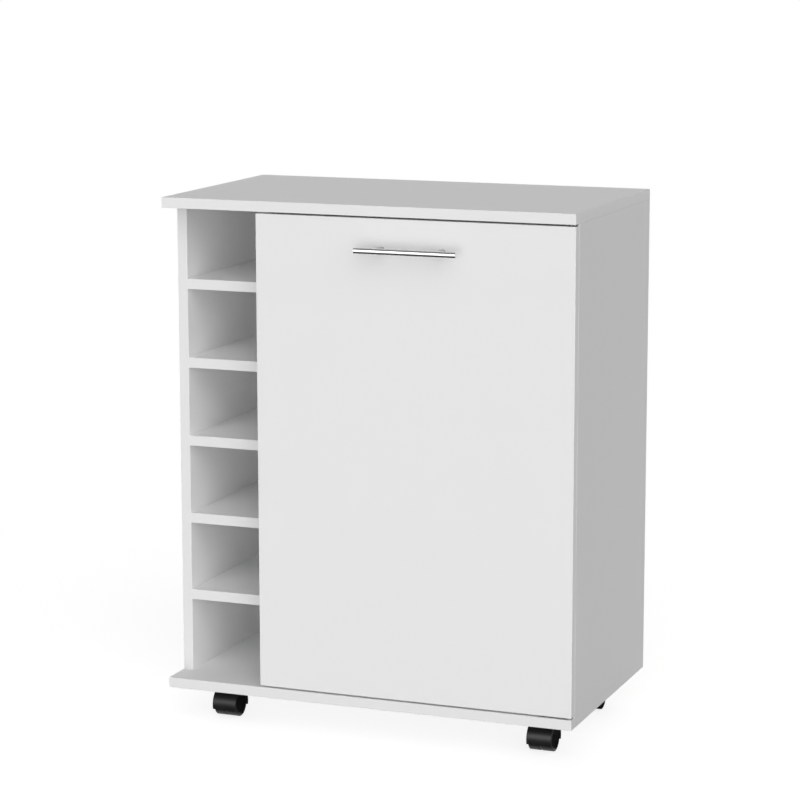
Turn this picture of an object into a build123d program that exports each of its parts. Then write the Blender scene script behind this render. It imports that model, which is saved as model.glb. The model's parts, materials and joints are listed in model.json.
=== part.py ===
"""Bar cart: a white board cabinet with a bottle rack and one side-hung door, on four twin-wheel casters.

All sizes are in millimetres. +Z points up, the front faces -Y, and +X is to the right as seen from the
front. The origin lies on the floor, under the middle of the cart's overall box.
"""
from build123d import *
from math import asin, cos, degrees, radians, sin, sqrt
import os

# Carcass boards
cart_width = 660.0
carcass_depth = 378.0
carcass_height = 770.0
board = 16.0
back_board = 3.0
back_rebate = 8.0
edge_band = 0.5
edge_round = 0.4

# Bottle rack at the left
rack_recess = 54.0
rack_clear_width = 140.0
rack_shelf_count = 5
rack_shelf_pitch = 123.1

# Adjustable shelf in the cabinet, on four pins
cabinet_shelf_board = 16.0
cabinet_shelf_setback = 26.0
cabinet_shelf_side_gap = 0.5
cabinet_shelf_back_gap = 1.0
shelf_pin_diameter = 5.0
shelf_pin_sunk = 9.0
shelf_pin_reach = 8.0
shelf_pin_inset = 38.0
shelf_hole_pitch = 32.0
shelf_hole_rows = 5

# Door between the top and the base, over the fronts of the divider and the right side
door_board = 16.0
door_gap_top = 2.8
door_gap_bottom = 2.8
door_swing = 104.0

# Pivot hinges at the door's upper and lower right corners
pivot_from_side = 4.0
pivot_from_front = 4.0
pivot_pin_diameter = 4.0
pivot_pin_sunk = 6.0
hinge_plate_length = 52.0
hinge_plate_width = 11.0
hinge_plate_thickness = 2.0
hinge_plate_margin = 1.0
hinge_plate_corner = 2.0
hinge_screw_inset = 7.0
hinge_screw_spacing = 24.0
hinge_washer_diameter = 6.0
stop_radius = 6.5
stop_peg_diameter = 2.0
stop_peg_start = 72.0

# Bar handle
handle_bar_diameter = 9.0
handle_bar_length = 160.0
handle_bar_round = 0.8
handle_standoff = 32.0
handle_below_door_top = 44.7
handle_post_diameter = 8.0
handle_post_spacing = 96.0
handle_screw_diameter = 4.0
handle_screw_bite = 10.0

# Magnetic catch at the top of the divider and its strike on the door
catch_width = 13.0
catch_depth = 14.0
catch_height = 30.0
catch_foot_length = 50.0
catch_foot_thickness = 2.5
catch_below_top = 14.0
magnet_width = 7.0
magnet_depth = 6.0
magnet_height = 22.0
strike_width = 12.0
strike_height = 36.0
strike_thickness = 1.0
strike_screw_spacing = 24.0
bumper_diameter = 8.0
bumper_inset = 40.0

# Casters
caster_height = 59.0
caster_side_inset = 68.5
caster_end_inset = 68.5
caster_trail = 10.0
wheel_diameter = 40.0
wheel_width = 17.6
wheel_tread_round = 1.2
wheel_inner_round = 0.3
wheel_face = 2.0
wheel_dish_inner = 13.0
wheel_dish_outer = 29.0
wheel_dish_depth = 0.8
axle_diameter = 6.0
axle_groove_depth = 0.3
axle_groove_width = 2.0
axle_groove_inset = 9.0
snap_ridge_width = 1.4
snap_ridge_gap = 0.12
web_thickness = 2.4
web_floor_gap = 1.0
hood_wall = 3.2
hood_overhang = 1.1
hood_lip_drop = 6.5
hood_round = 1.5
neck_diameter = 12.0
kingpin_diameter = 7.0
kingpin_tenon_diameter = 5.0
kingpin_head_diameter = 9.5
kingpin_head_thickness = 2.0
caster_plate_size = 40.0
caster_plate_thickness = 2.0
caster_plate_corner = 4.0
caster_screw_spacing = 29.0

# Fixings
small_screw_diameter = 3.0
small_screw_head = 5.6
small_screw_head_height = 1.9
small_screw_length = 12.0
caster_screw_diameter = 3.6
caster_screw_head = 7.0
caster_screw_head_height = 2.4
caster_screw_length = 13.0
handle_screw_head = 8.0
handle_screw_head_height = 2.6
pan_head_round = 1.2
base_screw_diameter = 6.0
base_screw_head = 10.0
base_screw_length = 50.0
base_screw_inset = 45.0
cam_diameter = 15.0
cam_depth = 12.0
cam_slot_width = 2.0
cam_slot_length = 9.0
cam_slot_depth = 2.2
cam_below_top = 34.0
cam_inset = 60.0
cam_bolt_neck = 5.0
cam_bolt_head = 6.0
cam_bolt_head_height = 4.0
cam_bolt_thread = 6.4
cam_bolt_bite = 11.0
cam_bolt_bore = 7.0
top_dowel_diameter = 8.0
top_dowel_up = 10.0
top_dowel_down = 20.0
top_dowel_inset = 30.0
rack_dowel_diameter = 6.0
rack_dowel_in_panel = 9.0
rack_dowel_in_shelf = 15.0
rack_dowel_inset = 40.0
nail_diameter = 1.5
nail_length = 18.0
nail_head_diameter = 4.0
nail_head_thickness = 0.6
nails_per_width = 5
nails_per_height = 4
nail_margin = 60.0

# Clearances
fixing_fit = 0.05
press_fit = 0.02
running_fit = 0.06
bore_end_gap = 0.5
part_gap = 0.3
wheel_side_gap = 0.3
wheel_hood_gap = 1.5
stop_gap = 0.4

# Places that follow from the sizes above
half_width = cart_width / 2
handle_reach = handle_standoff + handle_bar_diameter / 2
front_y = (handle_reach - carcass_depth) / 2
rear_y = front_y + carcass_depth
boards_rear_y = rear_y - back_board
pivot_to_back = door_board - pivot_from_front
door_gap_back = sqrt(pivot_from_side ** 2 + pivot_to_back ** 2) - pivot_to_back + part_gap
bumper_thickness = door_gap_back - part_gap
cabinet_front_y = front_y + door_board + door_gap_back
rack_front_y = front_y + rack_recess
base_bottom_z = caster_height
base_top_z = base_bottom_z + board
top_top_z = base_bottom_z + carcass_height
top_bottom_z = top_top_z - board
middle_z = (base_top_z + top_bottom_z) / 2
left_inner_x = -half_width + board
divider_left_x = left_inner_x + rack_clear_width
divider_right_x = divider_left_x + board
divider_middle_x = (divider_left_x + divider_right_x) / 2
right_inner_x = half_width - board
door_bottom_z = base_top_z + door_gap_bottom
door_top_z = top_bottom_z - door_gap_top
door_back_y = front_y + door_board
door_middle_x = (divider_left_x + half_width) / 2
pivot_x = half_width - pivot_from_side
pivot_y = front_y + pivot_from_front

AXES = {"x": Axis.X, "y": Axis.Y, "z": Axis.Z}
SIDES = {"front": ("y", 0), "left": ("x", 0), "right": ("x", 1), "bottom": ("z", 0), "top": ("z", 1)}
RIGHT = (1, 0, 0)
LEFT = (-1, 0, 0)
FRONT = (0, -1, 0)
BACK = (0, 1, 0)
UP = (0, 0, 1)
DOWN = (0, 0, -1)
STANDING = (Align.CENTER, Align.CENTER, Align.MIN)
HANGING = (Align.CENTER, Align.CENTER, Align.MAX)


def slab(x, y, z):
    """Return a box between the low and high limits given for each axis."""
    middle = Pos(sum(x) / 2, sum(y) / 2, sum(z) / 2)
    return middle * Box(x[1] - x[0], y[1] - y[0], z[1] - z[0])


def rod(start, direction, diameter, length):
    """Return a round bar that starts at a point and runs along a direction."""
    return Plane(origin=start, z_dir=direction) * Cylinder(diameter / 2, length, align=STANDING)


def rounded_plate(x, y, z, corner):
    """Return a flat plate with its four upright corners rounded."""
    plate = slab(x, y, z)
    return fillet(plate.edges().filter_by(Axis.Z), corner)


def banded_board(x, y, z, thin, sides):
    """Return a board cut back for its edge bands, and the bands; thin is the axis of its thickness."""
    span = {"x": list(x), "y": list(y), "z": list(z)}
    bands = []
    for side in sides:
        normal, end = SIDES[side]
        strip = {axis: list(limits) for axis, limits in span.items()}
        seam = strip[normal][end] + (edge_band if end == 0 else -edge_band)
        strip[normal][1 - end] = seam
        span[normal][end] = seam
        band = slab(strip["x"], strip["y"], strip["z"])
        long_axis = ({"x", "y", "z"} - {normal, thin}).pop()
        edges = band.edges().filter_by(AXES[long_axis]).sort_by(AXES[normal])
        outer = edges[:2] if end == 0 else edges[-2:]
        bands.append(fillet(outer, edge_round))
    return slab(span["x"], span["y"], span["z"]), bands


def countersunk(at, facing, diameter, head, length, grow=0.0):
    """Return a countersunk screw whose flat head lies at a point and faces a direction."""
    head_height = (head - diameter) / 2
    cone = Cone(diameter / 2 + grow, head / 2 + grow, head_height, align=HANGING)
    shank = Cylinder(diameter / 2 + grow, length + grow, align=HANGING)
    return Plane(origin=at, z_dir=facing) * (cone + shank)


def pan_screw(at, facing, diameter, head, head_height, length):
    """Return a screw whose domed head stands on a surface point and faces a direction."""
    cap = Cylinder(head / 2, head_height, align=STANDING)
    cap = fillet(cap.edges().sort_by(Axis.Z)[-1], pan_head_round)
    shank = Cylinder(diameter / 2, length, align=HANGING)
    return Plane(origin=at, z_dir=facing) * (cap + shank)


def spread(low, high, count, margin):
    """Return evenly spaced places between two limits, the first and last a margin inside them."""
    step = (high - low - 2 * margin) / (count - 1)
    return [low + margin + step * index for index in range(count)]


def about(middle, size):
    """Return the limits of a size centred on a place."""
    return middle - size / 2, middle + size / 2


def grown(limits, amount):
    """Return a pair of limits widened by an amount at both ends."""
    return limits[0] - amount, limits[1] + amount


def opposite(direction):
    """Return the reverse of a direction."""
    return tuple(-value for value in direction)


parts = {}


def keep(node, *solids):
    """Add solids to a named node."""
    parts.setdefault(node, []).extend(solids)


# Boards of the carcass, before their holes are cut
whole_depth = (front_y, rear_y)
between_boards = (base_top_z, top_bottom_z)
top, top_bands = banded_board(
    (-half_width, half_width), whole_depth, (top_bottom_z, top_top_z), "z", ("front", "left", "right"))
base, base_bands = banded_board(
    (-half_width, half_width), whole_depth, (base_bottom_z, base_top_z), "z", ("front", "left", "right"))
left_side, left_bands = banded_board(
    (-half_width, left_inner_x), (rack_front_y, rear_y), between_boards, "x", ("front",))
right_side, right_bands = banded_board(
    (right_inner_x, half_width), (cabinet_front_y, rear_y), between_boards, "x", ("front",))
divider, divider_bands = banded_board(
    (divider_left_x, divider_right_x), (cabinet_front_y, boards_rear_y), between_boards, "x", ("front",))
door, door_bands = banded_board(
    (divider_left_x, half_width), (front_y, door_back_y), (door_bottom_z, door_top_z), "y",
    ("left", "right", "bottom", "top"))

# The back board lies in a rebate round the rear of the outer boards
back_x = (-half_width + back_rebate, half_width - back_rebate)
back_z = (base_bottom_z + back_rebate, top_top_z - back_rebate)
back = slab(back_x, (boards_rear_y, rear_y), back_z)

top_cuts = [back]
base_cuts = [back]
left_cuts = [back]
right_cuts = [back]
divider_cuts = []
door_cuts = []

# Rack shelves, each on two dowels at either end
rack_shelf_middles = [
    middle_z + (index - (rack_shelf_count - 1) / 2) * rack_shelf_pitch for index in range(rack_shelf_count)]
rack_walls = ((left_inner_x, RIGHT, left_cuts), (divider_left_x, LEFT, divider_cuts))
rack_bands = []
for number, shelf_z in enumerate(rack_shelf_middles, start=1):
    shelf, shelf_bands = banded_board(
        (left_inner_x, divider_left_x), (rack_front_y, boards_rear_y),
        (shelf_z - board / 2, shelf_z + board / 2), "z", ("front",))
    rack_bands += shelf_bands
    shelf_cuts = []
    dowel_length = rack_dowel_in_panel + rack_dowel_in_shelf
    for dowel_y in (rack_front_y + rack_dowel_inset, boards_rear_y - rack_dowel_inset):
        for face_x, inward, panel_cuts in rack_walls:
            outer_x = face_x - inward[0] * rack_dowel_in_panel
            dowel = rod((outer_x, dowel_y, shelf_z), inward, rack_dowel_diameter, dowel_length)
            keep("rack_shelf_dowels", dowel)
            hole = rod((outer_x - inward[0] * bore_end_gap, dowel_y, shelf_z), inward,
                       rack_dowel_diameter + 2 * fixing_fit, dowel_length + 2 * bore_end_gap)
            shelf_cuts.append(hole)
            panel_cuts.append(hole)
    keep(f"rack_shelf_{number}", shelf - shelf_cuts)

# Cabinet shelf and the rows of holes that its pins can go in
shelf_bottom_z = middle_z - cabinet_shelf_board / 2
shelf_x = (divider_right_x + cabinet_shelf_side_gap, right_inner_x - cabinet_shelf_side_gap)
shelf_y = (cabinet_front_y + cabinet_shelf_setback, boards_rear_y - cabinet_shelf_back_gap)
cabinet_shelf, cabinet_shelf_bands = banded_board(
    shelf_x, shelf_y, (shelf_bottom_z, shelf_bottom_z + cabinet_shelf_board), "z", ("front",))
keep("cabinet_shelf", cabinet_shelf)
cabinet_walls = ((divider_right_x, RIGHT, divider_cuts), (right_inner_x, LEFT, right_cuts))
shelf_pin_z = shelf_bottom_z - shelf_pin_diameter / 2 - fixing_fit
for pin_y in (cabinet_front_y + shelf_pin_inset, boards_rear_y - shelf_pin_inset):
    for face_x, outward, panel_cuts in cabinet_walls:
        sunk_x = face_x - outward[0] * shelf_pin_sunk
        pin_length = shelf_pin_sunk + shelf_pin_reach
        keep("shelf_pins", rod((sunk_x, pin_y, shelf_pin_z), outward, shelf_pin_diameter, pin_length))
        for row in range(shelf_hole_rows):
            hole_z = shelf_pin_z + (row - (shelf_hole_rows - 1) / 2) * shelf_hole_pitch
            hole_start = (sunk_x - outward[0] * bore_end_gap, pin_y, hole_z)
            panel_cuts.append(rod(hole_start, outward, shelf_pin_diameter + 2 * fixing_fit,
                                  shelf_pin_sunk + bore_end_gap))

# Screws up through the base, and dowels and cam fittings under the top, for each upright board
rear_cam_y = boards_rear_y - cam_inset
cabinet_cams = (rear_cam_y, cabinet_front_y + cam_inset)
uprights = (
    (-half_width + board / 2, rack_front_y, left_cuts, left_inner_x, RIGHT, (rear_cam_y,)),
    (divider_middle_x, cabinet_front_y, divider_cuts, divider_right_x, RIGHT, cabinet_cams),
    (half_width - board / 2, cabinet_front_y, right_cuts, right_inner_x, LEFT, cabinet_cams),
)
for upright_x, upright_front_y, upright_cuts, cam_face_x, cam_facing, cam_places in uprights:
    for screw_y in (upright_front_y + base_screw_inset, boards_rear_y - base_screw_inset):
        screw_sizes = ((upright_x, screw_y, base_bottom_z), DOWN, base_screw_diameter, base_screw_head,
                       base_screw_length)
        keep("base_screws", countersunk(*screw_sizes))
        hole = countersunk(*screw_sizes, grow=fixing_fit)
        base_cuts.append(hole)
        upright_cuts.append(hole)
    for dowel_y in (upright_front_y + top_dowel_inset, boards_rear_y - top_dowel_inset):
        dowel_foot = (upright_x, dowel_y, top_bottom_z - top_dowel_down)
        dowel_length = top_dowel_down + top_dowel_up
        keep("top_dowels", rod(dowel_foot, UP, top_dowel_diameter, dowel_length))
        hole_foot = (upright_x, dowel_y, dowel_foot[2] - bore_end_gap)
        hole = rod(hole_foot, UP, top_dowel_diameter + 2 * fixing_fit, dowel_length + 2 * bore_end_gap)
        top_cuts.append(hole)
        upright_cuts.append(hole)
    for cam_y in cam_places:
        cam_z = top_bottom_z - cam_below_top
        bolt_head_z = cam_z - cam_bolt_head_height / 2
        bolt = rod((upright_x, cam_y, bolt_head_z), UP, cam_bolt_neck, top_bottom_z - bolt_head_z)
        bolt += rod((upright_x, cam_y, bolt_head_z), UP, cam_bolt_head, cam_bolt_head_height)
        bolt += rod((upright_x, cam_y, top_bottom_z), UP, cam_bolt_thread, cam_bolt_bite)
        keep("cam_bolts", bolt)
        bore = rod((upright_x, cam_y, bolt_head_z - bore_end_gap), UP, cam_bolt_bore,
                   top_bottom_z - bolt_head_z + bore_end_gap)
        cam_inward = opposite(cam_facing)
        pocket = rod((cam_face_x, cam_y, cam_z), cam_inward, cam_diameter, cam_depth)
        cam = rod((cam_face_x, cam_y, cam_z), cam_inward, cam_diameter - 2 * fixing_fit, cam_depth)
        slot = Pos(cam_face_x, cam_y, cam_z) * Box(2 * cam_slot_depth, cam_slot_length, cam_slot_width)
        keep("cam_locks", cam - [bore, slot])
        upright_cuts += [bore, pocket]
        top_cuts.append(rod((upright_x, cam_y, top_bottom_z), UP, cam_bolt_thread + 2 * fixing_fit,
                            cam_bolt_bite + bore_end_gap))

# Nails that hold the back board in its rebate
rebate_ledge = board - back_rebate
ledge_x = right_inner_x + rebate_ledge / 2
nail_rows = [(x, z) for x in spread(*back_x, nails_per_width, nail_margin)
             for z in (base_top_z - rebate_ledge / 2, top_bottom_z + rebate_ledge / 2)]
nail_rows += [(x, z) for z in spread(*back_z, nails_per_height, nail_margin)
              for x in (-ledge_x, divider_middle_x, ledge_x)]
back_cuts = []
for nail_x, nail_z in nail_rows:
    head_at = (nail_x, rear_y, nail_z)
    nail = rod(head_at, FRONT, nail_diameter, nail_length)
    nail += rod(head_at, FRONT, nail_head_diameter, nail_head_thickness)
    keep("back_panel_nails", nail)
    hole = rod(head_at, FRONT, nail_diameter + 2 * fixing_fit, nail_length + fixing_fit)
    back_cuts += [hole, rod(head_at, FRONT, nail_head_diameter + 2 * fixing_fit, nail_head_thickness)]
    for board_cuts in (top_cuts, base_cuts, left_cuts, right_cuts, divider_cuts):
        board_cuts.append(hole)

# Pivot hinges: a plate let into the top and the base, a plate let into the door, and a pin
plate_x = (half_width - hinge_plate_margin - hinge_plate_length, half_width - hinge_plate_margin)
plate_y = (front_y + hinge_plate_margin, front_y + hinge_plate_margin + hinge_plate_width)
plate_screw_y = sum(plate_y) / 2
plate_screw_x = [plate_x[0] + hinge_screw_inset, plate_x[0] + hinge_screw_inset + hinge_screw_spacing]


def hinge_plate(face_z, outward, pin_clearance, screw_node, cuts):
    """Return a hinge plate that lies flush in a board; its screws are kept and the board's cuts added."""
    inner_z = face_z - outward[2] * hinge_plate_thickness
    plate_z = (min(face_z, inner_z), max(face_z, inner_z))
    plate = rounded_plate(plate_x, plate_y, plate_z, hinge_plate_corner)
    recess_x = grown(plate_x, fixing_fit)
    recess_y = grown(plate_y, fixing_fit)
    cuts.append(rounded_plate(recess_x, recess_y, plate_z, hinge_plate_corner))
    plate_cuts = [rod((pivot_x, pivot_y, face_z), opposite(outward), pivot_pin_diameter + 2 * pin_clearance,
                      hinge_plate_thickness)]
    for screw_x in plate_screw_x:
        sizes = ((screw_x, plate_screw_y, face_z), outward, small_screw_diameter, small_screw_head,
                 small_screw_length)
        keep(screw_node, countersunk(*sizes))
        hole = countersunk(*sizes, grow=fixing_fit)
        plate_cuts.append(hole)
        cuts.append(hole)
    return plate - plate_cuts


def pivot_pin(face_z, outward, gap):
    """Return a pin fixed in a carcass plate that crosses the door's gap and runs in the door's plate."""
    start = (pivot_x, pivot_y, face_z - outward[2] * hinge_plate_thickness)
    length = 2 * hinge_plate_thickness + gap + pivot_pin_sunk
    return rod(start, outward, pivot_pin_diameter, length)


def stop_peg(angle, face_z, outward):
    """Return a small peg on the upper hinge that limits the door's swing, at an angle about the pin."""
    peg_x = pivot_x + stop_radius * cos(radians(angle))
    peg_y = pivot_y + stop_radius * sin(radians(angle))
    return rod((peg_x, peg_y, face_z), outward, stop_peg_diameter, door_gap_top - stop_gap)


peg_width_angle = 2 * degrees(asin(stop_peg_diameter / 2 / stop_radius))
stop_gap_angle = degrees(stop_gap / stop_radius)
stop_peg_end = stop_peg_start + door_swing + peg_width_angle + stop_gap_angle
upper_plate = hinge_plate(top_bottom_z, DOWN, press_fit, "carcass_wood_screws", top_cuts)
keep("hinge_top_plate", upper_plate + stop_peg(stop_peg_end, top_bottom_z, DOWN))
keep("hinge_bottom_plate", hinge_plate(base_top_z, UP, press_fit, "carcass_wood_screws", base_cuts))
keep("hinge_pins", pivot_pin(top_bottom_z, DOWN, door_gap_top), pivot_pin(base_top_z, UP, door_gap_bottom))
upper_door_plate = hinge_plate(door_top_z, UP, running_fit, "door_wood_screws", door_cuts)
keep("hinge_door_top_plate", upper_door_plate + stop_peg(stop_peg_start, door_top_z, UP))
lower_door_plate = hinge_plate(door_bottom_z, DOWN, running_fit, "door_wood_screws", door_cuts)
keep("hinge_door_bottom_plate", lower_door_plate)
pin_bore = pivot_pin_diameter + 2 * part_gap
pin_bore_depth = hinge_plate_thickness + pivot_pin_sunk + bore_end_gap
door_cuts.append(rod((pivot_x, pivot_y, door_top_z), DOWN, pin_bore, pin_bore_depth))
door_cuts.append(rod((pivot_x, pivot_y, door_bottom_z), UP, pin_bore, pin_bore_depth))
washer_foot = (pivot_x, pivot_y, base_top_z)
washer_height = door_gap_bottom - part_gap
washer = rod(washer_foot, UP, hinge_washer_diameter, washer_height)
keep("hinge_washer", washer - rod(washer_foot, UP, pivot_pin_diameter + 2 * running_fit, washer_height))

# Bar handle on two posts, screwed from behind the door
handle_y = front_y - handle_standoff
handle_z = door_top_z - handle_below_door_top
bar_start = (door_middle_x - handle_bar_length / 2, handle_y, handle_z)
bar = rod(bar_start, RIGHT, handle_bar_diameter, handle_bar_length)
keep("handle_bar", fillet(bar.edges().filter_by(GeomType.CIRCLE), handle_bar_round))
bar_seat = rod(bar_start, RIGHT, handle_bar_diameter + 2 * press_fit, handle_bar_length)
for post_x in (door_middle_x - handle_post_spacing / 2, door_middle_x + handle_post_spacing / 2):
    post = rod((post_x, front_y, handle_z), FRONT, handle_post_diameter, handle_standoff)
    screw_head_at = (post_x, door_back_y, handle_z)
    thread = rod(screw_head_at, FRONT, handle_screw_diameter + 2 * fixing_fit,
                 door_board + handle_screw_bite + bore_end_gap)
    keep("handle_posts", post - [bar_seat, thread])
    keep("handle_screws", pan_screw(screw_head_at, BACK, handle_screw_diameter, handle_screw_head,
                                    handle_screw_head_height, door_board + handle_screw_bite))
    door_cuts.append(thread)

# Magnetic catch, its strike, and two soft bumpers that the closed door meets
catch_front_y = door_back_y + strike_thickness + part_gap
catch_y = (catch_front_y, catch_front_y + catch_depth)
catch_z = top_bottom_z - catch_below_top - catch_foot_length / 2
catch_middle_x = divider_right_x + catch_width / 2
foot_face_x = divider_right_x + catch_foot_thickness
housing_x = (divider_right_x, divider_right_x + catch_width)
housing = slab(housing_x, catch_y, about(catch_z, catch_height))
housing += slab((divider_right_x, foot_face_x), catch_y, about(catch_z, catch_foot_length))
magnet_y = (catch_front_y, catch_front_y + magnet_depth)
magnet = slab(about(catch_middle_x, magnet_width), magnet_y, about(catch_z, magnet_height))
housing_cuts = [magnet]
foot_screw_rise = (catch_foot_length + catch_height) / 4
for screw_z in (catch_z - foot_screw_rise, catch_z + foot_screw_rise):
    screw_at = (foot_face_x, sum(catch_y) / 2, screw_z)
    keep("catch_screws", pan_screw(screw_at, RIGHT, small_screw_diameter, small_screw_head,
                                   small_screw_head_height, small_screw_length))
    hole = rod(screw_at, LEFT, small_screw_diameter + 2 * fixing_fit, small_screw_length + fixing_fit)
    housing_cuts.append(hole)
    divider_cuts.append(hole)
keep("catch_housing", housing - housing_cuts)
keep("catch_magnet", magnet)
strike_y = (door_back_y, door_back_y + strike_thickness)
strike = slab(about(catch_middle_x, strike_width), strike_y, about(catch_z, strike_height))
strike_cuts = []
for screw_z in (catch_z - strike_screw_spacing / 2, catch_z + strike_screw_spacing / 2):
    sizes = ((catch_middle_x, strike_y[1], screw_z), BACK, small_screw_diameter, small_screw_head,
             small_screw_length)
    keep("door_wood_screws", countersunk(*sizes))
    strike_cuts.append(countersunk(*sizes, grow=fixing_fit))
keep("catch_strike", strike - strike_cuts)
door_cuts += strike_cuts
for bumper_z in (door_bottom_z + bumper_inset, door_top_z - bumper_inset):
    bumper_at = (divider_middle_x, cabinet_front_y, bumper_z)
    keep("door_bumpers", rod(bumper_at, FRONT, bumper_diameter, bumper_thickness))

# Casters, drawn about the kingpin at x = 0, y = 0, with the wheels trailing towards the back
wheel_radius = wheel_diameter / 2
axle_z = wheel_radius
cavity_radius = wheel_radius + wheel_hood_gap
hood_radius = cavity_radius + hood_wall
wheel_inner_x = web_thickness / 2 + wheel_side_gap
wheel_outer_x = wheel_inner_x + wheel_width
hood_width = 2 * (wheel_outer_x + hood_overhang)
bore_end_x = wheel_outer_x - wheel_face
axle_half_length = bore_end_x - part_gap
groove_middle_x = wheel_inner_x + axle_groove_inset
plate_bottom_z = base_bottom_z - caster_plate_thickness
half_spacing = caster_screw_spacing / 2
caster_screw_places = [(x, y) for x in (-half_spacing, half_spacing) for y in (-half_spacing, half_spacing)]
kingpin_head_z = axle_z + sqrt(cavity_radius ** 2 - (caster_trail - kingpin_head_diameter / 2) ** 2)


def across(half_length, diameter, middle_x=0.0):
    """Return a round bar on the wheels' axis, centred on a place along it."""
    return rod((middle_x - half_length, caster_trail, axle_z), RIGHT, diameter, 2 * half_length)


def make_hood():
    """Return the moulded hood: a curved shell over both wheels, a web between them and a swivel neck."""
    shell = across(hood_width / 2, 2 * hood_radius)
    shell = fillet(shell.edges().filter_by(GeomType.CIRCLE), hood_round)
    below_lips = (axle_z - hood_radius, axle_z - hood_lip_drop)
    below = slab(about(0, hood_width), about(caster_trail, 2 * hood_radius), below_lips)
    neck_height = plate_bottom_z - part_gap - axle_z
    neck = rod((0, 0, axle_z), UP, neck_diameter, neck_height)
    cavity = across(hood_width, 2 * cavity_radius)
    web = across(web_thickness / 2, 2 * cavity_radius + hood_wall) - below
    web += across(web_thickness / 2, 2 * (wheel_radius - web_floor_gap))
    hood = (shell - below + neck - cavity) + web
    axle_bore = across(web_thickness, axle_diameter + 2 * press_fit)
    kingpin_bore = rod((0, 0, axle_z), UP, kingpin_diameter + 2 * running_fit, neck_height)
    head_room = rod((0, 0, axle_z), UP, kingpin_head_diameter + 2 * part_gap,
                    kingpin_head_z + kingpin_head_thickness + part_gap - axle_z)
    return hood - [axle_bore, kingpin_bore, head_room]


def make_axle():
    """Return the axle pressed into the web, with a groove near each end for the wheels to snap into."""
    axle = across(axle_half_length, axle_diameter)
    grooves = []
    for side in (-1, 1):
        ring = across(axle_groove_width / 2, 2 * axle_diameter, side * groove_middle_x)
        grooves.append(ring - across(axle_groove_width / 2, axle_diameter - 2 * axle_groove_depth,
                                     side * groove_middle_x))
    return axle - grooves


def make_wheel(side):
    """Return one moulded wheel at the left, side -1, or at the right, side 1, of the web."""
    middle_x = side * (wheel_inner_x + wheel_outer_x) / 2
    wheel = across(wheel_width / 2, wheel_diameter, middle_x)
    outer = Axis.X if side > 0 else -Axis.X
    wheel = fillet(wheel.edges().filter_by(GeomType.CIRCLE).sort_by(outer)[-1], wheel_tread_round)
    wheel = fillet(wheel.edges().filter_by(GeomType.CIRCLE).sort_by(outer)[0], wheel_inner_round)
    dish_middle = side * wheel_outer_x
    dish = across(wheel_dish_depth, wheel_dish_outer, dish_middle)
    dish -= across(wheel_dish_depth, wheel_dish_inner, dish_middle)
    ridge_start = groove_middle_x - snap_ridge_width / 2
    ridge_end = groove_middle_x + snap_ridge_width / 2
    ridge_bore = axle_diameter - 2 * axle_groove_depth + 2 * snap_ridge_gap
    wide_bore = axle_diameter + 2 * running_fit
    bore_pieces = ((wheel_inner_x, ridge_start, wide_bore), (ridge_start, ridge_end, ridge_bore),
                   (ridge_end, bore_end_x, wide_bore))
    cuts = [dish]
    for start, end, diameter in bore_pieces:
        cuts.append(across((end - start) / 2, diameter, side * (start + end) / 2))
    return wheel - cuts


def make_kingpin():
    """Return the kingpin: a head inside the hood, a bearing length in the neck and a tenon in the plate."""
    pin = rod((0, 0, kingpin_head_z), UP, kingpin_diameter, plate_bottom_z - kingpin_head_z)
    pin += rod((0, 0, kingpin_head_z), UP, kingpin_head_diameter, kingpin_head_thickness)
    return pin + rod((0, 0, plate_bottom_z), UP, kingpin_tenon_diameter, caster_plate_thickness)


def make_caster_plate():
    """Return the steel fixing plate with its screw holes and the hole for the kingpin's tenon."""
    half = caster_plate_size / 2
    plate_z = (plate_bottom_z, base_bottom_z)
    plate = rounded_plate((-half, half), (-half, half), plate_z, caster_plate_corner)
    tenon_hole = kingpin_tenon_diameter + 2 * press_fit
    holes = [rod((0, 0, plate_bottom_z), UP, tenon_hole, caster_plate_thickness)]
    for screw_x, screw_y in caster_screw_places:
        holes.append(rod((screw_x, screw_y, plate_bottom_z), UP, caster_screw_diameter + 2 * fixing_fit,
                         caster_plate_thickness))
    return plate - holes


hood = make_hood()
axle = make_axle()
wheels = {"left": make_wheel(-1), "right": make_wheel(1)}
kingpin = make_kingpin()
caster_plate = make_caster_plate()
caster_x = half_width - caster_side_inset
caster_places = {
    "front_left": (-caster_x, front_y + caster_end_inset),
    "front_right": (caster_x, front_y + caster_end_inset),
    "rear_left": (-caster_x, rear_y - caster_end_inset),
    "rear_right": (caster_x, rear_y - caster_end_inset),
}
for corner, (corner_x, corner_y) in caster_places.items():
    corner_place = Pos(corner_x, corner_y, 0)
    keep("caster_plates", corner_place * caster_plate)
    keep("caster_kingpins", corner_place * kingpin)
    keep(f"caster_hood_{corner}", corner_place * hood)
    keep(f"caster_axle_{corner}", corner_place * axle)
    for wheel_name, wheel in wheels.items():
        keep(f"caster_wheel_{corner}_{wheel_name}", corner_place * wheel)
    for screw_x, screw_y in caster_screw_places:
        screw_at = (corner_x + screw_x, corner_y + screw_y, plate_bottom_z)
        keep("caster_screws", pan_screw(screw_at, DOWN, caster_screw_diameter, caster_screw_head,
                                        caster_screw_head_height, caster_screw_length))
        pilot_diameter = caster_screw_diameter + 2 * fixing_fit
        base_cuts.append(rod(screw_at, UP, pilot_diameter, caster_screw_length + fixing_fit))

# Boards with their holes cut, and the bands that edge them
keep("top_board", top - top_cuts)
keep("base_board", base - base_cuts)
keep("left_side_panel", left_side - left_cuts)
keep("right_side_panel", right_side - right_cuts)
keep("divider_panel", divider - divider_cuts)
keep("back_panel", back - back_cuts)
keep("door_panel", door - door_cuts)
keep("carcass_edge_bands", *top_bands, *base_bands, *left_bands, *right_bands, *divider_bands, *rack_bands,
     *cabinet_shelf_bands)
keep("door_edge_bands", *[band - door_cuts for band in door_bands])

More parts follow.
